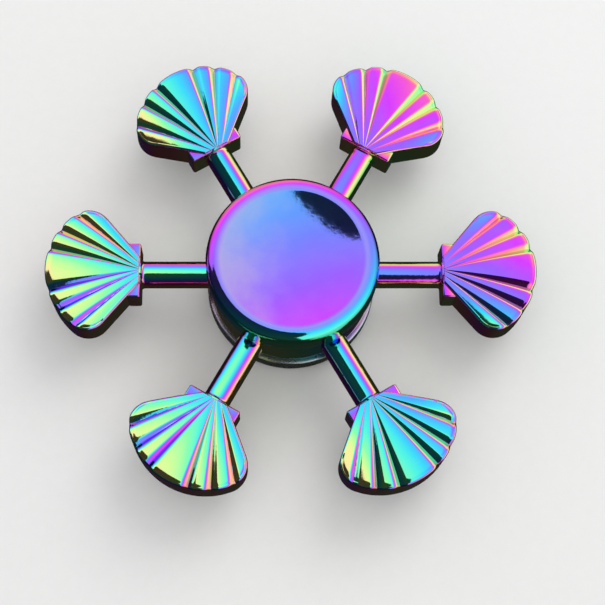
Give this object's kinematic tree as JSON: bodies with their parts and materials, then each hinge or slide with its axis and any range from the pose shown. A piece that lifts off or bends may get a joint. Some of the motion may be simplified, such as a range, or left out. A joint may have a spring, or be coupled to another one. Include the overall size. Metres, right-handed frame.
{
  "type": "fidget spinner",
  "caption": "Fidget spinner with a round dished thumb cap, a ball-bearing hub and straight rods that end in ribbed scallop shells, plated in rainbow colours.",
  "frame": {"origin": "centre of the ball bearing, on the spin axis, halfway between the two caps", "axes": "+Z along the spin axis, out of the cap whose side shows the shells' ribs; +X along the first arm"},
  "size_m": [0.0768, 0.0696, 0.0178],
  "materials": {
    "cap_plating": "mirror-bright rainbow plating on zinc alloy, periwinkle to violet",
    "bottom_cap_plating": "mirror-bright rainbow plating on zinc alloy, pale on its back face",
    "hub_plating": "mirror-bright rainbow plating on zinc alloy, dark green to navy",
    "magenta_plating": "mirror-bright rainbow plating on zinc alloy, violet to magenta",
    "cyan_plating": "mirror-bright rainbow plating on zinc alloy, cyan to blue",
    "green_plating": "mirror-bright rainbow plating on zinc alloy, cyan to yellow-green",
    "race_steel": "ground bearing steel",
    "ball_steel": "polished bearing steel",
    "shield_steel": "pressed steel, satin",
    "spring_steel": "spring steel wire, satin",
    "cage_steel": "pressed brass-coloured strip, satin"
  },
  "bodies": {
    "caps": {"top_cap": "cap_plating", "bottom_cap": "bottom_cap_plating", "inner_race": "race_steel"},
    "spinner": {"hub_ring": "hub_plating", "shell_arm_1": "magenta_plating", "shell_arm_2": "magenta_plating", "shell_arm_3": "cyan_plating", "shell_arm_4": "green_plating", "shell_arm_5": "green_plating", "shell_arm_6": "cyan_plating", "outer_race": "race_steel", "shield_top": "shield_steel", "shield_bottom": "shield_steel", "snap_ring_top": "spring_steel", "snap_ring_bottom": "spring_steel"},
    "ball_cage": {"cage_upper": "cage_steel", "cage_lower": "cage_steel", "cage_rivet_1": "cage_steel", "cage_rivet_2": "cage_steel", "cage_rivet_3": "cage_steel", "cage_rivet_4": "cage_steel", "cage_rivet_5": "cage_steel", "cage_rivet_6": "cage_steel", "cage_rivet_7": "cage_steel"},
    "rolling_ball_1": {"ball_1": "ball_steel"},
    "rolling_ball_2": {"ball_2": "ball_steel"},
    "rolling_ball_3": {"ball_3": "ball_steel"},
    "rolling_ball_4": {"ball_4": "ball_steel"},
    "rolling_ball_5": {"ball_5": "ball_steel"},
    "rolling_ball_6": {"ball_6": "ball_steel"},
    "rolling_ball_7": {"ball_7": "ball_steel"}
  },
  "joints": [
    {"name": "spin", "type": "hinge", "parent": "caps", "child": "spinner", "pos_m": [0, 0, 0], "axis": [0, 0, 1], "continuous": true},
    {"name": "cage_orbit", "type": "hinge", "parent": "caps", "child": "ball_cage", "pos_m": [0, 0, 0], "axis": [0, 0, 1], "continuous": true},
    {"name": "ball_1_roll", "type": "hinge", "parent": "ball_cage", "child": "rolling_ball_1", "pos_m": [0.0075, 0, 0], "axis": [0, 0, 1], "continuous": true},
    {"name": "ball_2_roll", "type": "hinge", "parent": "ball_cage", "child": "rolling_ball_2", "pos_m": [0.00468, 0.00586, 0], "axis": [0, 0, 1], "continuous": true},
    {"name": "ball_3_roll", "type": "hinge", "parent": "ball_cage", "child": "rolling_ball_3", "pos_m": [-0.00167, 0.00731, 0], "axis": [0, 0, 1], "continuous": true},
    {"name": "ball_4_roll", "type": "hinge", "parent": "ball_cage", "child": "rolling_ball_4", "pos_m": [-0.00676, 0.00325, 0], "axis": [0, 0, 1], "continuous": true},
    {"name": "ball_5_roll", "type": "hinge", "parent": "ball_cage", "child": "rolling_ball_5", "pos_m": [-0.00676, -0.00325, 0], "axis": [0, 0, 1], "continuous": true},
    {"name": "ball_6_roll", "type": "hinge", "parent": "ball_cage", "child": "rolling_ball_6", "pos_m": [-0.00167, -0.00731, 0], "axis": [0, 0, 1], "continuous": true},
    {"name": "ball_7_roll", "type": "hinge", "parent": "ball_cage", "child": "rolling_ball_7", "pos_m": [0.00468, -0.00586, 0], "axis": [0, 0, 1], "continuous": true}
  ],
  "couplings": [
    {"joint": "cage_orbit", "follows": "spin", "ratio": 0.6323},
    {"joint": "ball_1_roll", "follows": "spin", "ratio": 1.7573},
    {"joint": "ball_2_roll", "follows": "spin", "ratio": 1.7573},
    {"joint": "ball_3_roll", "follows": "spin", "ratio": 1.7573},
    {"joint": "ball_4_roll", "follows": "spin", "ratio": 1.7573},
    {"joint": "ball_5_roll", "follows": "spin", "ratio": 1.7573},
    {"joint": "ball_6_roll", "follows": "spin", "ratio": 1.7573},
    {"joint": "ball_7_roll", "follows": "spin", "ratio": 1.7573}
  ]
}
